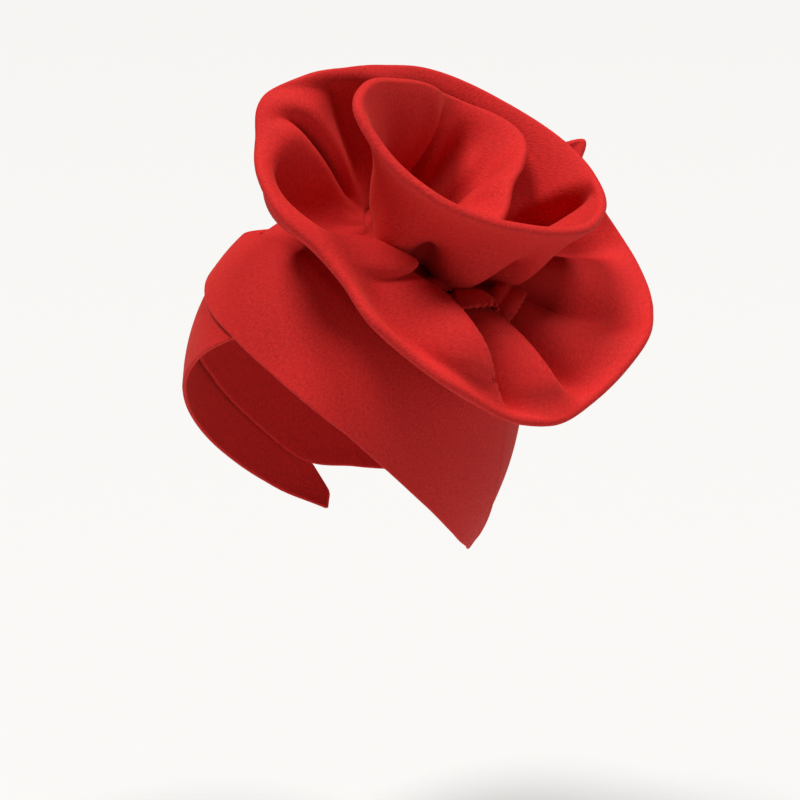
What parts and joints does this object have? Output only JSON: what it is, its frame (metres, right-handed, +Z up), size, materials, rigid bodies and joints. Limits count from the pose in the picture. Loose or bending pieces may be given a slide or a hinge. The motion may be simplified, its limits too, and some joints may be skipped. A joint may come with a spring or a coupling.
{
  "type": "turban cap",
  "caption": "Close-fitting stretch turban cap with two bands crossed over the forehead and a large gathered ruffle rose sewn on its upper left.",
  "frame": {"origin": "middle of the head hollow, at the level where the head is widest: the seat on the head that holds the cap up", "axes": "+Z up along the head, the face looks along -Y, the wearer's left (the rose's side) is +X"},
  "size_m": [0.2194, 0.2122, 0.2551],
  "materials": {
    "crown_scuba": "matte double knit",
    "under_wrap_scuba": "matte double knit",
    "over_wrap_scuba": "matte double knit",
    "ruffle_scuba": "matte double knit"
  },
  "bodies": {
    "root": {"crown": "crown_scuba", "under_wrap": "under_wrap_scuba", "over_wrap": "over_wrap_scuba", "ruffle_rose": "ruffle_scuba"}
  },
  "joints": []
}
